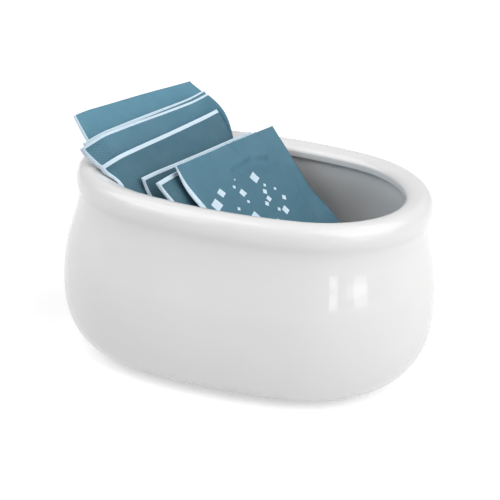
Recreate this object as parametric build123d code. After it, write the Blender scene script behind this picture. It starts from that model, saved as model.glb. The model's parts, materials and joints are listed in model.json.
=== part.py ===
from build123d import *
import math
import os

import numpy as np

# An oval, pot-bellied holder of glazed porcelain with paper packets of sugar leaning in it.
# X runs along the oval, Y across it and Z up. The origin is the middle of the foot's ring, on the table.

# Plan of the holder: the centre line of the rolled rim, an oval of four arcs
rim_length = 95.2
rim_width = 65.9
side_bow = 1.75          # the long sides bow this far past the radius of the ends
height = 55.2

# Outer wall, measured outwards from the rim's centre line
belly_bulge = 6.4
belly_height = 21.7
belly_drop = 14.8        # straightness of the wall below the belly
belly_rise = 13.7        # and above it
neck_bulge = 2.75
neck_depth = 8.7         # neck, below the crown of the rim
neck_sweep = 7.9         # straightness of the wall below the neck
foot_inset = 11.1        # outer edge of the foot, inwards from the rim's centre line
foot_reach = 11.0        # straightness of the wall above the foot

# Rolled rim
rim_out = 3.4
rim_out_drop = 4.5
rim_in = 4.5
rim_in_drop = 2.2
rim_band = 1.1           # short upright band under the inner roll
rim_corner = 0.5         # rounded lower corner of the band
ledge_depth = 1.1        # ledge under the band, back to the wall
ledge_fillet = 0.4       # hollow corner under the ledge

# Inside and underside
wall = 4.3               # at the belly
inner_drop = 12.0        # straightness of the inner wall below the belly
floor_inset = 12.5
floor_reach = 10.0
floor_thickness = 3.4
foot_width = 3.0
foot_recess = 1.2
foot_slope = 0.6
plate_inset = 17.0       # middle of the floor, inside the swept wall

# Sugar packet: a front and a back sheet of paper, sealed on all four sides around the sugar
packet_width = 45.0
packet_length = 62.0
seal_width = 5.0
paper = 0.15
crown = 1.2              # each face of a full packet, out from the plane of the seals
fill_gap = 0.1           # sugar to paper
fill_margin = 1.0        # sugar to the seals

# Packets from the rear of the stack to the front, as they lean on the left end of the rim
lean = 43.0
rim_gap = 0.4            # rearmost packet to the rim
packet_gap = 0.35        # packet to packet, over the crowns
seat_gap = 0.3           # packet to the rim, the wall and the floor
seat_slack = 0.05        # the gap may shrink by this much on the way down
packet_yaw = [-25.5, -25.5, -25.5, -25.5, -25.5, -19.5, -19.5]
packet_roll = [1.3, 5.2, 4.4, 7.2, 5.2, 4.5, 1.6]
packet_shift = [7.1, 4.7, 0.6, -1.9, 1.7, -0.8, 2.4]        # sideways from the long axis, at the rim
packet_depth = [44.6, 49.3, 48.2, 52.3, 59.1, 57.3, 54.5]    # lower edge below the rim, along the packet
pass_depth = 25.0        # a packet this deep has its lower edge under the neck
side_step = 0.25         # a packet is moved by such steps until it passes the rim
side_steps = 40
depth_step = 0.01

# The oval's arcs, each with its centre, its radius, its start and its sweep
half_length = rim_length / 2
half_width = rim_width / 2
end_radius = half_width - side_bow
end_centre = half_length - end_radius
side_centre = (end_centre**2 - side_bow**2) / (2 * side_bow)
side_radius = half_width + side_centre
end_angle = math.degrees(math.atan2(side_centre, end_centre))
arcs = [
    ((end_centre, 0), end_radius, -end_angle, 2 * end_angle),
    ((0, -side_centre), side_radius, end_angle, 180 - 2 * end_angle),
    ((-end_centre, 0), end_radius, 180 - end_angle, 2 * end_angle),
    ((0, side_centre), side_radius, 180 + end_angle, 180 - 2 * end_angle),
]

floor_height = foot_recess + floor_thickness
neck_height = height - neck_depth
ledge_height = height - rim_in_drop - rim_band - rim_corner
wall_top = ledge_height - ledge_fillet
round_handle = 0.5523    # handle of a curve that makes a quarter of a circle, as a share of its radius


def at(offset, z):
    return (offset, 0, z)


def quarter(start, corner, end):
    """Quarter of an ellipse from start to end, tangent to the lines that meet at corner."""
    near = tuple(a + round_handle * (b - a) for a, b in zip(start, corner))
    far = tuple(a + round_handle * (b - a) for a, b in zip(end, corner))
    return Bezier(start, near, far, end)


def inner_curves():
    """Inside of the holder, from the edge of its floor up to the crown of the rim."""
    belly = belly_bulge - wall
    neck = ledge_depth - rim_in
    band_foot = ledge_height + rim_corner
    band_head = band_foot + rim_band
    return [
        Bezier(at(-floor_inset, floor_height), at(-floor_inset + floor_reach, floor_height),
               at(belly, belly_height - inner_drop), at(belly, belly_height)),
        Bezier(at(belly, belly_height), at(belly, belly_height + belly_rise),
               at(neck, wall_top - neck_sweep), at(neck, wall_top)),
        quarter(at(neck, wall_top), at(neck, ledge_height), at(neck - ledge_fillet, ledge_height)),
        Line(at(neck - ledge_fillet, ledge_height), at(-rim_in + rim_corner, ledge_height)),
        quarter(at(-rim_in + rim_corner, ledge_height), at(-rim_in, ledge_height), at(-rim_in, band_foot)),
        Line(at(-rim_in, band_foot), at(-rim_in, band_head)),
        quarter(at(-rim_in, band_head), at(-rim_in, height), at(0, height)),
    ]


def outer_curves():
    """Outside of the holder, from the crown of the rim down to the edge of its foot."""
    rim_height = height - rim_out_drop
    middle = (rim_height + neck_height) / 2
    return [
        quarter(at(0, height), at(rim_out, height), at(rim_out, rim_height)),
        Bezier(at(rim_out, rim_height), at(rim_out, middle),
               at(neck_bulge, middle), at(neck_bulge, neck_height)),
        Bezier(at(neck_bulge, neck_height), at(neck_bulge, neck_height - neck_sweep),
               at(belly_bulge, belly_height + belly_rise), at(belly_bulge, belly_height)),
        Bezier(at(belly_bulge, belly_height), at(belly_bulge, belly_height - belly_drop),
               at(-foot_inset + foot_reach, 0), at(-foot_inset, 0)),
    ]


def holder():
    """Wall swept round the four arcs, closed by a flat plate in the middle of the floor."""
    ring = -foot_inset - foot_width
    base = Polyline(at(-foot_inset, 0), at(ring, 0), at(ring - foot_slope, foot_recess),
                    at(-plate_inset, foot_recess), at(-plate_inset, floor_height),
                    at(-floor_inset, floor_height))
    section = Face(Wire([*inner_curves(), *outer_curves(), *base.edges()]))
    body = Part()
    edges = []
    for centre, radius, start, sweep in arcs:
        placed = Pos(*centre) * Rot(0, 0, start) * Pos(radius, 0) * section
        body += revolve(placed, Axis((*centre, 0), (0, 0, 1)), sweep)
        edges.append(CenterArc(centre, radius - plate_inset, start, sweep))
    plate = extrude(Pos(0, 0, foot_recess) * Face(Wire(edges)), floor_thickness)
    return body + plate


# A packet's own frame: X out of its front face, Y along its width, Z up its length from the lower edge
pocket_width = packet_width - 2 * seal_width
pocket_length = packet_length - 2 * seal_width
pocket_rise = crown - paper
patch_gain = 9 / 16      # a patch's middle rises to this share of its inner control points


def pillow_patch(margin, rise):
    """Domed face over the pocket, drawn in by a margin on all sides; a negative rise domes backwards."""
    width = pocket_width - 2 * margin
    length = pocket_length - 2 * margin
    net = []
    for row in range(4):
        z = seal_width + margin + length * row / 3
        inside = row in (1, 2)
        peak = rise / patch_gain if inside else 0
        net.append([(0, -width / 2, z), (peak, -width / 6, z), (peak, width / 6, z), (0, width / 2, z)])
    return Face.make_bezier_surface(net)


def pillow(margin, front_rise, back_rise):
    """Closed solid between two domed faces with one outline."""
    return Solid(Shell([pillow_patch(margin, front_rise), pillow_patch(margin, back_rise)]))


def sheet(side):
    """Front (1) or back (-1) sheet of a packet: flat seals all round and a dome over the pocket."""
    align = Align.MIN if side > 0 else Align.MAX
    flat = Box(paper, packet_width, packet_length, align=(align, Align.CENTER, Align.MIN))
    hollow = pillow(0, pocket_rise, -pocket_rise)
    half_space = Box(crown, packet_width, packet_length, align=(align, Align.CENTER, Align.MIN))
    dome = (Pos(side * paper, 0, 0) * hollow) & half_space
    return flat + dome - hollow


def sugar():
    rise = pocket_rise - fill_gap
    return Part() + pillow(fill_margin, rise, -rise)


def crown_at(across, along):
    """Half the thickness of a packet at places on its face."""
    u = np.clip(across / pocket_width + 0.5, 0, 1)
    v = np.clip((along - seal_width) / pocket_length, 0, 1)
    return paper + pocket_rise / patch_gain * 9 * u * (1 - u) * v * (1 - v)


def packet_axes(yaw, roll):
    """Directions of a leaning packet: out of its face, along its width and up its length."""
    turn, tip, twist = np.radians((yaw, lean, roll))
    level = np.array((math.cos(turn), math.sin(turn), 0))
    across = np.array((-math.sin(turn), math.cos(turn), 0))
    upright = np.array((0, 0, 1))
    normal = level * math.cos(tip) + upright * math.sin(tip)
    rising = upright * math.cos(tip) - level * math.sin(tip)
    width_way = across * math.cos(twist) + rising * math.sin(twist)
    length_way = rising * math.cos(twist) - across * math.sin(twist)
    return normal, width_way, length_way


def offset_from_oval(x, y):
    """Distance of places outwards from the rim's centre line, in plan."""
    x, y = np.abs(x), np.abs(y)
    at_end = np.degrees(np.arctan2(y + side_centre, x)) < end_angle
    from_end = np.hypot(x - end_centre, y) - end_radius
    from_side = np.hypot(x, y + side_centre) - side_radius
    return np.where(at_end, from_end, from_side)


# Places at which the room between a packet and the holder is measured
curve_steps = 16         # along each curve of the holder's inside
arc_steps = 90           # along the end of the rim
edge_steps = 66          # along a packet's side edges
lower_steps = 16         # and along its lower edge
crown_rows = 16          # over its crowns
crown_columns = 8
inner_points = [curve @ (step / curve_steps) for curve in inner_curves() for step in range(curve_steps)]
inner_line = np.array([(point.X, point.Z) for point in inner_points] + [(0, height)])


def room_at(places):
    """Distance of places from the inside of the holder, negative within the wall or the floor."""
    x, y, z = places.T
    offset = offset_from_oval(x, y)
    starts, runs = inner_line[:-1], np.diff(inner_line, axis=0)
    away = np.stack((offset, z), axis=1)[:, None] - starts
    share = np.clip((away * runs).sum(axis=2) / (runs**2).sum(axis=1), 0, 1)
    nearest = np.linalg.norm(away - share[..., None] * runs, axis=2).min(axis=1)
    over_floor = offset < -floor_inset
    nearest = np.where(over_floor, np.minimum(nearest, np.abs(z - floor_height)), nearest)
    wall_offset = np.interp(z, inner_line[:, 1], inner_line[:, 0])
    inside = (z > floor_height) & ((offset < wall_offset) | (z > height))
    return np.where(inside, nearest, -nearest)


def face_places():
    """Places on a packet that may touch the holder: on its edges and over its crowns."""
    sides = [(edge, row / edge_steps) for edge in (-0.5, 0.5) for row in range(edge_steps + 1)]
    lower = [(column / lower_steps - 0.5, 0) for column in range(lower_steps + 1)]
    columns = [column / crown_columns - 0.5 for column in range(1, crown_columns)]
    crowns = [(across, row / crown_rows) for across in columns for row in range(1, crown_rows)]
    return np.array(sides + lower + crowns) * (packet_width, packet_length)


def packet_room(base, axes):
    """Least room that a packet has in the holder, with the middle of its lower edge at base."""
    normal, width_way, length_way = axes
    across, along = face_places().T[..., None]
    middle = base + across * width_way + along * length_way
    bulge = crown_at(across, along) * normal
    return min(room_at(middle - bulge).min(), room_at(middle + bulge).min())


def free_shift(crossing, axes, wanted):
    """Sideways place nearest to the wanted one where a packet passes the rim, or None."""
    for step in range(side_steps):
        for way in (1, -1):
            shift = wanted + way * step * side_step
            if packet_room(crossing + axes[1] * shift - axes[2] * pass_depth, axes) >= seat_gap:
                return shift
    return None


def let_down(crossing, axes, wanted):
    """Depth of a packet's lower edge: the wanted one, or less where the wall or the floor stops it."""
    if packet_room(crossing - axes[2] * wanted, axes) >= seat_gap - seat_slack:
        return wanted
    clear, blocked = pass_depth, wanted
    while blocked - clear > depth_step:
        middle = (clear + blocked) / 2
        if packet_room(crossing - axes[2] * middle, axes) >= seat_gap - seat_slack:
            clear = middle
        else:
            blocked = middle
    return clear


def rim_support(axes):
    """How far the left end of the rim reaches towards a packet that leans on it."""
    centre, radius, start, sweep = arcs[2]
    angles = np.radians(start + sweep * np.linspace(0, 1, arc_steps + 1))
    offset, z = inner_line[-curve_steps:].T
    x = centre[0] + np.outer(np.cos(angles), radius + offset)
    y = np.outer(np.sin(angles), radius + offset)
    rim = np.stack((x, y, np.broadcast_to(z, x.shape)), axis=2)
    behind = np.abs(rim @ axes[1]) < packet_width / 2
    return (rim @ axes[0])[behind].max()


def packet_places():
    """Middle of each packet's lower edge, and its axes, from the rear of the stack to the front."""
    places = []
    long_way = np.array((1, 0, 0))
    for yaw, roll, wanted_shift, wanted_depth in zip(packet_yaw, packet_roll, packet_shift, packet_depth):
        axes = packet_axes(yaw, roll)
        normal, width_way, length_way = axes
        if not places:
            reach = rim_support(axes) + rim_gap + crown
            crossing = np.array(((reach - normal[2] * height) / normal[0], 0, height))
        else:
            fan = packet_width / 2 * np.linalg.norm(normal - last_normal)
            crossing = crossing + (2 * crown + packet_gap + fan) / normal[0] * long_way
        while (shift := free_shift(crossing, axes, wanted_shift)) is None:
            crossing = crossing + side_step * long_way
        passing = crossing + shift * width_way
        depth = let_down(passing, axes, wanted_depth)
        places.append((passing - depth * length_way, axes))
        last_normal = normal
    return places


def main():
    os.makedirs("parts", exist_ok=True)
    export_step(holder(), "parts/holder_body.step")
    pieces = {"front_sheet": sheet(1), "back_sheet": sheet(-1), "sugar": sugar()}
    for number, (base, axes) in enumerate(packet_places(), 1):
        frame = Plane(origin=tuple(base), x_dir=tuple(axes[0]), z_dir=tuple(axes[2]))
        for name, piece in pieces.items():
            export_step(frame.location * piece, f"parts/packet_{number}_{name}.step")


main()
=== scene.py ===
import json
import math
import bmesh
import bpy
from mathutils import Matrix, Quaternion, Vector, geometry, noise


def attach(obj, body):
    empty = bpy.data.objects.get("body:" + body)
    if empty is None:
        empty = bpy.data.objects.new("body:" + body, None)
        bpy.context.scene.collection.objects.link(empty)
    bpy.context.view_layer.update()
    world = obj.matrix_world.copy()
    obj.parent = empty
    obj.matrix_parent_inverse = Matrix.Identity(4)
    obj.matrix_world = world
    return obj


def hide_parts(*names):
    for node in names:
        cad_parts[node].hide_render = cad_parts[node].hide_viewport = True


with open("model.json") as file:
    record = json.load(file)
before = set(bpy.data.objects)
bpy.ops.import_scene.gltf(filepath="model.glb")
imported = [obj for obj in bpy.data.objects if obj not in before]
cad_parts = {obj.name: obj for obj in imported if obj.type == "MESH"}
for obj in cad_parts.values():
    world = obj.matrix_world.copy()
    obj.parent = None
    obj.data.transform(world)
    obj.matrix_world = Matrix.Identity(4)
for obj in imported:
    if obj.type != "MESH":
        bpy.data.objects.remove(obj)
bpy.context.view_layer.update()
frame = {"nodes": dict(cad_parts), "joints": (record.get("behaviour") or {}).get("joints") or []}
mm = 0.001
scene = bpy.context.scene
scene.view_settings.view_transform = "Standard"
print("frame loaded:", len(frame["nodes"]), "nodes")


def toLinear(code):  # sRGB hex to a linear colour
    shares = [int(code[i:i + 2], 16) / 255 for i in (0, 2, 4)]
    return [s / 12.92 if s <= 0.04045 else ((s + 0.055) / 1.055) ** 2.4 for s in shares] + [1]


def addNode(tree, kind, feeds=None, **settings):  # one node, its settings, and what its sockets take
    node = tree.nodes.new(kind)
    for name, value in settings.items():
        setattr(node, name, value)
    fill(tree, node, feeds or {})
    return node


def fill(tree, node, feeds):  # values or links for a node's sockets
    for socket, source in feeds.items():
        if isinstance(source, bpy.types.NodeSocket):
            tree.links.new(source, node.inputs[socket])
        else:
            node.inputs[socket].default_value = source


def calc(tree, operation, *values):
    return addNode(tree, "ShaderNodeMath", dict(enumerate(values)), operation=operation).outputs[0]


def blend(tree, share, first, second):  # from one colour to another
    return addNode(tree, "ShaderNodeMix", {0: share, 6: first, 7: second}, data_type="RGBA").outputs[2]


def cloudy(tree, place, size, detail=2):  # noise with patches of this size
    feeds = {"Vector": place, "Scale": 1 / size, "Detail": detail}
    return addNode(tree, "ShaderNodeTexNoise", feeds).outputs[0]


def bumpy(tree, height, distance, strength, **more):
    feeds = {"Height": height, "Distance": distance, "Strength": strength, **more}
    return addNode(tree, "ShaderNodeBump", feeds).outputs["Normal"]


def newMaterial(name):
    material = bpy.data.materials.new(name)
    material.use_nodes = True
    return material, material.node_tree, material.node_tree.nodes["Principled BSDF"]


# Slip-cast porcelain under a clear glaze: a soft white body, a sharp gloss that ripples slightly
glaze = {
    "white": "f1f0f0", "pooled": "e9e8e8", "cloudSize": 30,
    "rippleSize": 11, "rippleHeight": 0.02,
    "smooth": 0.03, "dull": 0.07, "wearSize": 4, "ior": 1.52,
}


def glazedPorcelain():
    material, tree, shader = newMaterial("glazedPorcelain")
    place = addNode(tree, "ShaderNodeTexCoord").outputs["Object"]
    cloud = cloudy(tree, place, glaze["cloudSize"] * mm)
    colour = blend(tree, cloud, toLinear(glaze["white"]), toLinear(glaze["pooled"]))
    wear = cloudy(tree, place, glaze["wearSize"] * mm, 3)
    span = {"Value": wear, "To Min": glaze["smooth"], "To Max": glaze["dull"]}
    dull = addNode(tree, "ShaderNodeMapRange", span).outputs["Result"]
    ripple = cloudy(tree, place, glaze["rippleSize"] * mm, 1)
    fill(tree, shader, {"Base Color": colour, "Roughness": dull, "IOR": glaze["ior"],
                        "Normal": bumpy(tree, ripple, glaze["rippleHeight"] * mm, 0.6)})
    return material


# Fired porcelain without glaze, wiped off the ring that stood in the kiln: matt, cream, sandy
bisque = {
    "clay": "e9e4da", "grey": "cfc9be", "stainSize": 5,
    "grainSize": 0.6, "grainHeight": 0.03, "rough": 0.8,
}


def barePorcelain():
    material, tree, shader = newMaterial("barePorcelain")
    place = addNode(tree, "ShaderNodeTexCoord").outputs["Object"]
    stain = cloudy(tree, place, bisque["stainSize"] * mm, 4)
    colour = blend(tree, stain, toLinear(bisque["clay"]), toLinear(bisque["grey"]))
    grain = cloudy(tree, place, bisque["grainSize"] * mm)
    fill(tree, shader, {"Base Color": colour, "Roughness": bisque["rough"],
                        "Normal": bumpy(tree, grain, bisque["grainHeight"] * mm, 0.8)})
    return material


# Packet paper: a web printed grey-blue up to bare margins, crimped along its seals, strewn with printed
# sugar grains. Its places are millimetres across and down from the corner of the print.
paperInk = {
    "ink": "548195", "thin": "5d8a9d", "rubbed": "8fb4c6", "mottleSize": 3, "rough": 0.5, "sheen": 0.2,
    "bare": "d8ecfa", "lint": "e4edf5", "bareRough": 0.7, "fibreSize": 0.5, "fibreHeight": 0.03,
    "crimpPitch": 1.0, "crimpHeight": 0.12, "crimpRub": 0.25,  # real crimps are finer, these still show
    "crimpWide": 6.0, "crimpEnd": 9.0, "patchSize": 9, "patchSlack": 0.42, "patchFirm": 0.62,
    "creaseSize": 13, "creaseHeight": 0.25,
}
grainPrint = {
    "centre": (16.0, 21.0, 0), "reach": 14.0, "share": 0.5,
    "coarse": {"cell": 6.4, "half": 0.16, "turn": 24}, "fine": {"cell": 3.6, "half": 0.13, "turn": 57},
}


def plainPaper():  # the web's bare side and its cut edges: bleached, fibrous
    material, tree, shader = newMaterial("barePaper")
    place = addNode(tree, "ShaderNodeTexCoord").outputs["Object"]
    fibre = cloudy(tree, place, paperInk["fibreSize"] * mm, 3)
    colour = blend(tree, fibre, toLinear(paperInk["bare"]), toLinear(paperInk["lint"]))
    fill(tree, shader, {"Base Color": colour, "Roughness": paperInk["bareRough"],
                        "Normal": bumpy(tree, fibre, paperInk["fibreHeight"] * mm, 0.5)})
    return material


def turned(tree, place, degrees):
    spin = {"Vector": place, "Rotation": (0, 0, math.radians(degrees))}
    return addNode(tree, "ShaderNodeMapping", spin).outputs[0]


def grainLayer(tree, place, cell, half, turn):  # square grains, each kept or left out whole
    feeds = {"Vector": turned(tree, place, turn), "Scale": 1 / cell, "Randomness": 0.75}
    cells = addNode(tree, "ShaderNodeTexVoronoi", feeds, voronoi_dimensions="2D", distance="CHEBYCHEV")
    chance = addNode(tree, "ShaderNodeSeparateColor", {"Color": cells.outputs["Color"]})
    size = calc(tree, "MULTIPLY_ADD", chance.outputs[0], half, half * 0.5)
    square = calc(tree, "LESS_THAN", cells.outputs["Distance"], size)
    kept = calc(tree, "LESS_THAN", chance.outputs[1], grainPrint["share"])
    ends = {0: cells.outputs["Position"], 1: turned(tree, grainPrint["centre"], turn)}
    away = addNode(tree, "ShaderNodeVectorMath", ends, operation="DISTANCE").outputs["Value"]
    near = calc(tree, "LESS_THAN", away, grainPrint["reach"])
    return calc(tree, "MULTIPLY", calc(tree, "MULTIPLY", square, kept), near)


def crimpLayer(tree, place, edge):  # ridges pressed into the seals, firm only in patches
    pitch = 2 * math.pi / 10 / paperInk["crimpPitch"]
    ways = [{"Vector": turned(tree, place, turn), "Scale": pitch} for turn in (0, 90)]
    waves = [addNode(tree, "ShaderNodeTexWave", way, bands_direction="DIAGONAL") for way in ways]
    ridges = [wave.outputs["Fac"] for wave in waves]
    fade = {"Value": edge, "From Min": paperInk["crimpWide"], "From Max": paperInk["crimpEnd"],
            "To Min": 1.0, "To Max": 0.0}
    seal = addNode(tree, "ShaderNodeMapRange", fade).outputs[0]
    patch = cloudy(tree, place, paperInk["patchSize"], 1)
    bite = {"Value": patch, "From Min": paperInk["patchSlack"], "From Max": paperInk["patchFirm"]}
    firm = addNode(tree, "ShaderNodeMapRange", bite).outputs[0]
    bitten = calc(tree, "MULTIPLY", seal, firm)
    return calc(tree, "MULTIPLY", calc(tree, "MULTIPLY", *ridges), bitten)


def printedPaper():
    material, tree, shader = newMaterial("printedPaper")
    place = addNode(tree, "ShaderNodeAttribute", attribute_name="printPlace").outputs["Vector"]
    motif = addNode(tree, "ShaderNodeAttribute", attribute_name="grainPlace").outputs["Vector"]
    # painted light and shade: each packet's ink is darkened where it stood in shadow and lightened where it
    # caught light, and paler towards both ends
    paintedLightShade = addNode(tree, "ShaderNodeAttribute", attribute_name="inkPaintedLightShade").outputs["Fac"]
    edge = addNode(tree, "ShaderNodeAttribute", attribute_name="edgeRoom").outputs["Fac"]
    mottle = cloudy(tree, place, paperInk["mottleSize"], 4)
    ink = blend(tree, mottle, toLinear(paperInk["ink"]), toLinear(paperInk["thin"]))
    inkWithPaintedShade = addNode(tree, "ShaderNodeVectorMath", {0: ink, "Scale": paintedLightShade}, operation="SCALE").outputs[0]
    pressed = crimpLayer(tree, place, edge)
    rub = calc(tree, "MULTIPLY", pressed, paperInk["crimpRub"])
    worn = blend(tree, rub, inkWithPaintedShade, toLinear(paperInk["rubbed"]))
    layers = [grainLayer(tree, motif, **grainPrint[kind]) for kind in ("coarse", "fine")]
    grains = calc(tree, "MAXIMUM", *layers)
    parts = addNode(tree, "ShaderNodeSeparateXYZ", {"Vector": place})
    margin = calc(tree, "LESS_THAN", calc(tree, "MINIMUM", parts.outputs["X"], parts.outputs["Y"]), 0.0)
    colour = blend(tree, calc(tree, "MAXIMUM", grains, margin), worn, toLinear(paperInk["bare"]))

    crease = addNode(tree, "ShaderNodeTexVoronoi", {"Vector": place, "Scale": 1 / paperInk["creaseSize"]},
                     feature="DISTANCE_TO_EDGE", voronoi_dimensions="2D")
    fold = addNode(tree, "ShaderNodeMapRange", {"Value": crease.outputs["Distance"], "From Max": 0.12},
                   interpolation_type="SMOOTHSTEP").outputs["Result"]
    fibre = cloudy(tree, place, paperInk["fibreSize"], 3)
    normal = bumpy(tree, fibre, paperInk["fibreHeight"] * mm, 0.4)
    normal = bumpy(tree, fold, paperInk["creaseHeight"] * mm, 0.35, Normal=normal)
    normal = bumpy(tree, pressed, paperInk["crimpHeight"] * mm, 0.8, Normal=normal)
    fill(tree, shader, {"Base Color": colour, "Normal": normal, "Roughness": paperInk["rough"],
                        "Specular IOR Level": paperInk["sheen"]})
    return material


# Granulated sugar: loose white crystals that catch small glints, with painted shade darkening the gaps
# between them
sugarGrain = {"crystal": "f7f5ef", "paintedGapShade": "e3dfd5", "size": 0.7, "height": 0.3, "rough": 0.3}


def granulatedSugar():
    material, tree, shader = newMaterial("granulatedSugar")
    place = addNode(tree, "ShaderNodeTexCoord").outputs["Object"]
    cells = addNode(tree, "ShaderNodeTexVoronoi", {"Vector": place, "Scale": 1 / (sugarGrain["size"] * mm)})
    away = cells.outputs["Distance"]
    # painted shade: each crystal darkens towards its edges, into the gaps between crystals
    colour = blend(tree, away, toLinear(sugarGrain["crystal"]), toLinear(sugarGrain["paintedGapShade"]))
    top = calc(tree, "SUBTRACT", 1.0, away)
    fill(tree, shader, {"Base Color": colour, "Roughness": sugarGrain["rough"],
                        "Normal": bumpy(tree, top, sugarGrain["height"] * mm, 1.0)})
    return material


finishes = {"glazed": glazedPorcelain(), "foot": barePorcelain(), "printed": printedPaper(),
            "paper": plainPaper(), "sugar": granulatedSugar()}
print("materials:", ", ".join(m.name for m in finishes.values()))


def addPiece(bm, name, materials, body, nodes):
    mesh = bpy.data.meshes.new(name)
    bm.to_mesh(mesh)
    bm.free()
    mesh.shade_smooth()
    for material in materials:
        mesh.materials.append(finishes[material])
    piece = bpy.data.objects.new(name, mesh)
    scene.collection.objects.link(piece)
    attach(piece, body)
    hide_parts(*nodes)
    return piece


# Holder: one wall section, swept round the four arcs of the oval
# (millimetres, outwards from the rim's centre line)
holder = {
    "rimLength": 95.2, "rimWidth": 65.9, "sideBow": 1.75, "height": 55.2,
    "bellyBulge": 6.4, "bellyHeight": 21.7, "bellyDrop": 14.8, "bellyRise": 13.7,
    "neckBulge": 2.75, "neckDepth": 8.7, "neckSweep": 7.9, "footInset": 11.1, "footReach": 11.0,
    "rimOut": 3.4, "rimOutDrop": 4.5, "rimIn": 4.5, "rimInDrop": 2.2, "rimBand": 1.1, "rimCorner": 0.5,
    "ledgeDepth": 1.1, "ledgeFillet": 0.4, "wall": 4.3, "innerDrop": 12.0,
    "floorInset": 12.5, "floorReach": 10.0, "floorHeight": 4.6,
    "footWidth": 3.0, "footRecess": 1.2, "footSlope": 0.6, "plateInset": 17.0,
    "curveSteps": 15, "endSteps": 72, "sideSteps": 16, "sharpAngle": 35,
}
roundHandle = 0.5523  # handle of a quarter circle, as a share of its radius


def curve(*points, steps=holder["curveSteps"]):
    return geometry.interpolate_bezier(*[Vector((x, 0, z)) for x, z in points], steps)


def quarter(start, corner, end, steps=8):
    a, b, c = (Vector(p) for p in (start, corner, end))
    return curve(a, a.lerp(b, roundHandle), c.lerp(b, roundHandle), c, steps=steps)


def wallSection(h):
    inBelly, inNeck = h["bellyBulge"] - h["wall"], h["ledgeDepth"] - h["rimIn"]
    ledge = h["height"] - h["rimInDrop"] - h["rimBand"] - h["rimCorner"]
    wallTop, bandFoot = ledge - h["ledgeFillet"], ledge + h["rimCorner"]
    bandHead = bandFoot + h["rimBand"]
    neckHeight, rimHeight = h["height"] - h["neckDepth"], h["height"] - h["rimOutDrop"]
    middle = (neckHeight + rimHeight) / 2
    ring = -h["footInset"] - h["footWidth"]
    runs = [
        [Vector((-h["plateInset"], 0, h["floorHeight"]))],
        curve((-h["floorInset"], h["floorHeight"]), (-h["floorInset"] + h["floorReach"], h["floorHeight"]),
              (inBelly, h["bellyHeight"] - h["innerDrop"]), (inBelly, h["bellyHeight"])),
        curve((inBelly, h["bellyHeight"]), (inBelly, h["bellyHeight"] + h["bellyRise"]),
              (inNeck, wallTop - h["neckSweep"]), (inNeck, wallTop)),
        quarter((inNeck, wallTop), (inNeck, ledge), (inNeck - h["ledgeFillet"], ledge)),
        quarter((-h["rimIn"] + h["rimCorner"], ledge), (-h["rimIn"], ledge), (-h["rimIn"], bandFoot)),
        quarter((-h["rimIn"], bandHead), (-h["rimIn"], h["height"]), (0, h["height"]), 12),
        quarter((0, h["height"]), (h["rimOut"], h["height"]), (h["rimOut"], rimHeight), 12),
        curve((h["rimOut"], rimHeight), (h["rimOut"], middle),
              (h["neckBulge"], middle), (h["neckBulge"], neckHeight)),
        curve((h["neckBulge"], neckHeight), (h["neckBulge"], neckHeight - h["neckSweep"]),
              (h["bellyBulge"], h["bellyHeight"] + h["bellyRise"]), (h["bellyBulge"], h["bellyHeight"])),
        curve((h["bellyBulge"], h["bellyHeight"]), (h["bellyBulge"], h["bellyHeight"] - h["bellyDrop"]),
              (-h["footInset"] + h["footReach"], 0), (-h["footInset"], 0), steps=24),
        [Vector((ring, 0, 0)), Vector((ring - h["footSlope"], 0, h["footRecess"])),
         Vector((-h["plateInset"], 0, h["footRecess"]))],
    ]
    points = []
    for point in (p for run in runs for p in run):
        if not points or (point - points[-1]).length > 1e-4:
            points.append(point)
    return points


def makeHolder(h):
    halfWidth, halfLength = h["rimWidth"] / 2, h["rimLength"] / 2
    endRadius = halfWidth - h["sideBow"]
    endCentre = halfLength - endRadius
    sideCentre = (endCentre**2 - h["sideBow"]**2) / (2 * h["sideBow"])
    endTurn = math.atan2(sideCentre, endCentre)
    sideTurn = math.pi - 2 * endTurn
    ends, sides = (2 * endTurn, h["endSteps"]), (sideTurn, h["sideSteps"])
    arcs = [((endCentre, 0, 0), *ends), ((0, -sideCentre, 0), *sides),
            ((-endCentre, 0, 0), *ends), ((0, sideCentre, 0), *sides)]
    bm = bmesh.new()
    start = Matrix.Translation(arcs[0][0]) @ Matrix.Rotation(-endTurn, 4, "Z")
    start = start @ Matrix.Translation((endRadius, 0, 0))
    verts = [bm.verts.new(start @ point) for point in wallSection(h)]
    edges = [bm.edges.new(pair) for pair in zip(verts, verts[1:])]
    section = verts + edges
    for centre, turn, steps in arcs:
        swept = bmesh.ops.spin(bm, geom=section, cent=centre, axis=(0, 0, 1), angle=turn, steps=steps)
        section = swept["geom_last"]
    bmesh.ops.remove_doubles(bm, verts=bm.verts, dist=0.002)
    bmesh.ops.holes_fill(bm, edges=[e for e in bm.edges if e.is_boundary], sides=0)
    bmesh.ops.scale(bm, vec=(mm, mm, mm), verts=bm.verts)
    bmesh.ops.recalc_face_normals(bm, faces=bm.faces)
    for face in bm.faces:
        face.material_index = int(face.normal.z < -0.9 and face.calc_center_median().z < 0.05 * mm)
    for edge in bm.edges:
        edge.smooth = edge.calc_face_angle(0) < math.radians(h["sharpAngle"])
    return addPiece(bm, "holderBody", ["glazed", "foot"], "holder", ["holder_body"])


holderPiece = makeHolder(holder)
print("holder:", len(holderPiece.data.polygons), "faces")


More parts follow.
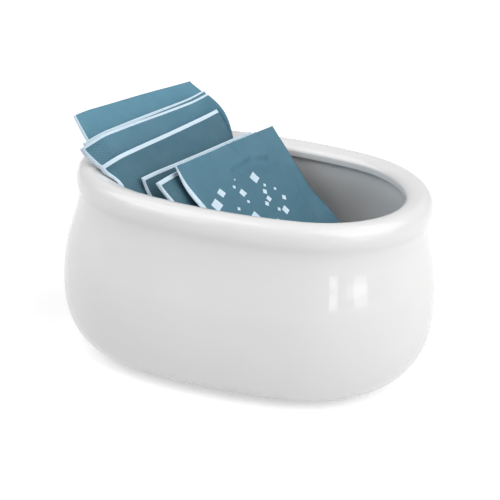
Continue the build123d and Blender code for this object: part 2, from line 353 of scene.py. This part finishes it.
# Packets: two sheets each, in the place that the CAD sheets hold
packet = {"width": 45.0, "length": 62.0, "seal": 5.0, "rise": 1.05, "paper": 0.15, "thickness": 0.12,
          "columns": 84, "rows": 116, "wrinkle": 0.3, "wrinkleSize": 8.0, "wrinkleStep": 7.3, "puff": 0.6,
          "sealGrip": 0.6, "wave": 0.25, "waveSize": 6.0, "waveReach": 12.0, "curl": 6.0,
          "flare": 14.0, "foldWidth": 1.2, "foldReach": 5.0, "paleEnd": 0.08, "paleReach": 20.0}
packetLooks = {
    # top: bare margin at its left and right ends; left: bare margin at the top and lower down;
    # tone, the ink factor: its lightness scaled as painted light and shade, under 1 where a packet stood in
    # shadow between its neighbours, over 1 where it caught more light; drop: how much lower the grains sit;
    # curls: side, mm out of the face, mm from the top, half length;
    # folds: mm across and down at both ends, depth
    1: {"top": (0, 0), "left": (0.5, 0.7), "paintedLightShade": 1.12, "drop": 10,
        "curls": [("left", -1.95, 4, 20), ("right", 3.2, 8, 9)]},
    2: {"top": (1.2, 0.5), "left": (0.4, 0.6), "paintedLightShade": 1.0, "drop": 10,
        "curls": [("left", -3.0, 2, 20), ("left", -1.4, -1, 6), ("right", 2.6, 2, 12)]},
    3: {"top": (0.8, 0.65), "left": (0.5, 0.8), "paintedLightShade": 0.9, "drop": 10,
        "curls": [("left", -2.0, 0, 7), ("left", -4.7, 3, 24), ("left", 2.2, 12, 6.5),
                  ("right", 4.8, 8, 14)]},
    4: {"top": (1.2, 1.1), "left": (0.6, 0.7), "paintedLightShade": 0.66, "drop": 8,
        "curls": [("left", -4.6, 0, 22), ("left", 2.3, 7.0, 5.7), ("right", 1.2, 3, 10)]},
    5: {"top": (1.1, 0.9), "left": (0.6, 0.7), "paintedLightShade": 0.58, "drop": 10, "curls": [("left", -2.2, 7, 12)]},
    6: {"top": (1.3, 0.6), "left": (0.7, 0.8), "paintedLightShade": 0.6, "drop": 10, "curls": [("left", -2.6, 0, 14)]},
    7: {"top": (0.15, 0), "left": (0.3, 1.9), "paintedLightShade": 0.87, "drop": 0,
        "curls": [("left", -0.9, 6.5, 7), ("left", 1.2, 20, 9), ("right", 2.6, 34, 14)],
        "folds": [(23.5, 0, 27, 7.1, 0.8), (27, 7.1, 34.5, 8.7, 0.9), (27, 7.1, 18.5, 8.0, 0.7)]},
}


def packetPlace(number):  # frame of a packet: across, along, out of its face
    sheet = frame["nodes"][f"packet_{number}_front_sheet"].data
    lift = next(j for j in frame["joints"] if j["name"] == f"packet_{number}_lift")
    along = Vector(lift["axis"]).normalized()
    out = max(sheet.polygons, key=lambda p: p.area).normal.copy()
    out = out if out.x > 0 else -out
    across = along.cross(out).normalized()
    out = across.cross(along)
    spans = [[v.co @ way for v in sheet.vertices] for way in (across, along, out)]
    base = across * (min(spans[0]) + max(spans[0])) / 2 + along * min(spans[1]) + out * min(spans[2])
    return Matrix.Translation(base) @ Matrix((across, along, out)).transposed().to_4x4()


def swell(p, across, up):  # how far the filled pocket stands out
    u = min(max(across / (p["width"] - 2 * p["seal"]) + 0.5, 0), 1)
    v = min(max((up - p["seal"]) / (p["length"] - 2 * p["seal"]), 0), 1)
    return p["rise"] * 16 * u * (1 - u) * v * (1 - v)


def curlOut(p, look, across, down):  # soft curls of the sealed edges
    total = 0
    for side, amount, middle, half in look["curls"]:
        fromSide = p["width"] / 2 + (across if side == "left" else -across)
        reach = max(0, 1 - fromSide / p["curl"])
        along = (down - middle) / half
        total += amount * reach**2 * max(0, 1 - along**2) ** 2
    return total


def foldOut(p, look, across, down):  # creases: the paper stands up around a sharp valley
    total = 0
    spot = Vector((across + p["width"] / 2, down))
    for x0, y0, x1, y1, depth in look.get("folds", []):
        foot, share = geometry.intersect_point_line(spot, Vector((x0, y0)), Vector((x1, y1)))
        foot = foot.to_2d() if 0 <= share <= 1 else Vector((x0, y0) if share < 0 else (x1, y1))
        away = (spot - foot).length
        swollen, valley = max(0, 1 - (away / p["foldReach"]) ** 2) ** 2, max(0, 1 - away / p["foldWidth"])
        total = max(total, depth * swollen)
        if valley:
            total = min(total, depth * (1 - valley))
    return total


def makeSheet(p, look, number, side):
    name = "Front" if side > 0 else "Back"
    bm = bmesh.new()
    printPlace = bm.verts.layers.float_vector.new("printPlace")
    grainPlace = bm.verts.layers.float_vector.new("grainPlace")
    inkPaintedLightShade = bm.verts.layers.float.new("inkPaintedLightShade")
    edgeRoom = bm.verts.layers.float.new("edgeRoom")
    bmesh.ops.create_grid(bm, x_segments=p["columns"], y_segments=p["rows"], size=0.5)
    bmesh.ops.scale(bm, vec=(p["width"], p["length"], 1), verts=bm.verts)
    bmesh.ops.translate(bm, vec=(0, p["length"] / 2, 0), verts=bm.verts)
    for vert in bm.verts:
        across, up = vert.co.x, vert.co.y
        down = p["length"] - up
        flare = min(1, down / p["flare"])
        margin = look["left"][0] * (1 - flare) + look["left"][1] * flare
        rightward = across / p["width"] + 0.5
        head = look["top"][0] * (1 - rightward) + look["top"][1] * rightward
        fromSide, fromEnd = p["width"] / 2 - abs(across), min(up, down)
        fromLeft, fromTop = side * across + p["width"] / 2 - margin, down - head
        vert[printPlace] = (fromLeft, fromTop, number * p["length"])
        vert[grainPlace] = (fromLeft, fromTop - look["drop"], 0)
        # ink factor: painted light and shade for the whole packet, paler towards both of its ends
        vert[inkPaintedLightShade] = look["paintedLightShade"] * (1 + p["paleEnd"] * (1 - 2 * min(1, fromEnd / p["paleReach"])))
        vert[edgeRoom] = min(fromSide, fromEnd)
        pocket = swell(p, across, up)
        slack = 1 - pocket / p["rise"]
        size, layer = p["wrinkleSize"], number * p["wrinkleStep"] + side
        ruffle = noise.noise(Vector((across / size, up / size, layer)))
        inner = min(1, max(0, min(fromSide, fromEnd) - p["seal"] * p["sealGrip"]) / p["seal"])
        crease = foldOut(p, look, across, down) if side > 0 else 0
        lift = p["paper"] + pocket + p["wrinkle"] * inner * slack * (ruffle + p["puff"]) + crease
        wave = p["wave"] * math.sin(across / p["waveSize"] + number) * max(0, 1 - fromEnd / p["waveReach"])
        vert.co.z = side * lift + curlOut(p, look, across, down) + wave * slack
    if side < 0:
        bmesh.ops.reverse_faces(bm, faces=bm.faces)
    bmesh.ops.scale(bm, vec=(mm, mm, mm), verts=bm.verts)
    bmesh.ops.transform(bm, matrix=packetPlace(number), verts=bm.verts)
    piece = addPiece(bm, f"packet{number}{name}Sheet", ["printed", "paper"], f"packet_{number}",
                     [f"packet_{number}_{name.lower()}_sheet"])
    web = piece.modifiers.new("web", "SOLIDIFY")
    web.thickness, web.offset, web.material_offset, web.material_offset_rim = p["thickness"] * mm, -1, 1, 1
    return piece


for number, look in packetLooks.items():
    sheets = [makeSheet(packet, look, number, side) for side in (1, -1)]
    frame["nodes"][f"packet_{number}_sugar"].material_slots[0].material = finishes["sugar"]
    print("packet", number, ":", sum(len(s.data.polygons) for s in sheets), "faces")


# Stage: pale floor that shows white to the camera and keeps the shadow
stage = {"floor": "e6e6e6", "floorSize": 6.0, "floorGlow": 0.5, "sky": "ffffff", "skyLight": 0.02,
         "skyMirror": 0.8}


def makeStage(s):
    material, tree, shader = newMaterial("paleFloor")
    ray = addNode(tree, "ShaderNodeLightPath")
    seen = calc(tree, "MAXIMUM", ray.outputs["Is Camera Ray"], ray.outputs["Is Glossy Ray"])
    seen = calc(tree, "MAXIMUM", seen, ray.outputs["Is Transmission Ray"])
    glow = calc(tree, "MULTIPLY", seen, s["floorGlow"])
    fill(tree, shader, {"Base Color": toLinear(s["floor"]), "Roughness": 0.9, "Specular IOR Level": 0.0,
                        "Emission Color": toLinear(s["sky"]), "Emission Strength": glow})
    bm = bmesh.new()
    bmesh.ops.create_grid(bm, x_segments=1, y_segments=1, size=s["floorSize"] / 2)
    bmesh.ops.translate(bm, vec=(0, 0, -0.05 * mm), verts=bm.verts)
    mesh = bpy.data.meshes.new("floor")
    bm.to_mesh(mesh)
    bm.free()
    mesh.materials.append(material)
    floor = bpy.data.objects.new("floor", mesh)
    scene.collection.objects.link(floor)

    world = bpy.data.worlds.new("studio")
    world.use_nodes = True
    tree = world.node_tree
    ray = addNode(tree, "ShaderNodeLightPath")
    seen = calc(tree, "MAXIMUM", ray.outputs["Is Camera Ray"], ray.outputs["Is Transmission Ray"])
    levels = {0: seen, 2: s["skyLight"], 3: 1.0}
    strength = addNode(tree, "ShaderNodeMix", levels, data_type="FLOAT").outputs[0]
    mirrored = calc(tree, "MULTIPLY", ray.outputs["Is Glossy Ray"], s["skyMirror"])
    strength = calc(tree, "MAXIMUM", strength, mirrored)
    fill(tree, tree.nodes["Background"], {"Color": toLinear(s["sky"]), "Strength": strength})
    scene.world = world


def addLamp(name, place, aim, size, power):
    lamp = bpy.data.lights.new(name, "AREA")
    lamp.shape, lamp.size, lamp.size_y, lamp.energy = "RECTANGLE", size[0], size[1], power
    stand = bpy.data.objects.new(name, lamp)
    stand.location = place
    stand.rotation_mode = "QUATERNION"
    stand.rotation_quaternion = (Vector(aim) - Vector(place)).to_track_quat("-Z", "Y")
    scene.collection.objects.link(stand)


lamps = [  # name, place, size, power
    ("rightSoftbox", (1.2, -0.3, 0.55), (1.2, 1.0), 4.8),
    ("rightOverhead", (0.8, -0.1, 0.9), (1.6, 1.2), 10.8),
    ("leftOverhead", (-0.6, -0.35, 1.0), (1.0, 1.0), 7.4),
    ("leftSoftbox", (-1.15, -0.3, 0.7), (0.8, 0.8), 1.3),
    ("frontFill", (-0.7, -1.0, 0.7), (0.7, 0.7), 2.1),
    ("nearPane", (0.68, -0.75, 0.06), (0.12, 0.13), 0.14),
    ("farPane", (0.92, -0.41, 0.06), (0.22, 0.13), 0.19),
]
makeStage(stage)
for name, place, size, power in lamps:
    addLamp(name, place, (0, 0, 0.03), size, power)
print("stage: floor and", len(lamps), "lamps")


# Camera: round the object to the right, above it, with a long lens (millimetres, degrees)
eye = {"azimuth": 17.248, "elevation": 23.088, "distance": 540.84, "middle": 26.643,
       "aimRight": 0.042, "aimUp": 4.903, "roll": 3.54, "lens": 136.04, "sensor": 36.0}


def makeCamera(e):
    a, t = math.radians(e["azimuth"]), math.radians(e["elevation"])
    back = Vector((math.sin(a) * math.cos(t), -math.cos(a) * math.cos(t), math.sin(t)))
    right = Vector((math.cos(a), math.sin(a), 0))
    upward = back.cross(right)
    middle = Vector((0, 0, e["middle"]))
    place = middle + back * e["distance"]
    aim = middle + right * e["aimRight"] + upward * e["aimUp"]
    camera = bpy.data.objects.new("camera", bpy.data.cameras.new("camera"))
    camera.data.lens, camera.data.sensor_width = e["lens"], e["sensor"]
    camera.data.clip_start, camera.data.clip_end = 0.01, 50
    camera.location = place * mm
    camera.rotation_mode = "QUATERNION"
    roll = Quaternion((0, 0, 1), math.radians(e["roll"]))
    camera.rotation_quaternion = (aim - place).to_track_quat("-Z", "Y") @ roll
    scene.collection.objects.link(camera)
    scene.camera = camera


makeCamera(eye)
print("camera set")

bpy.context.view_layer.update()
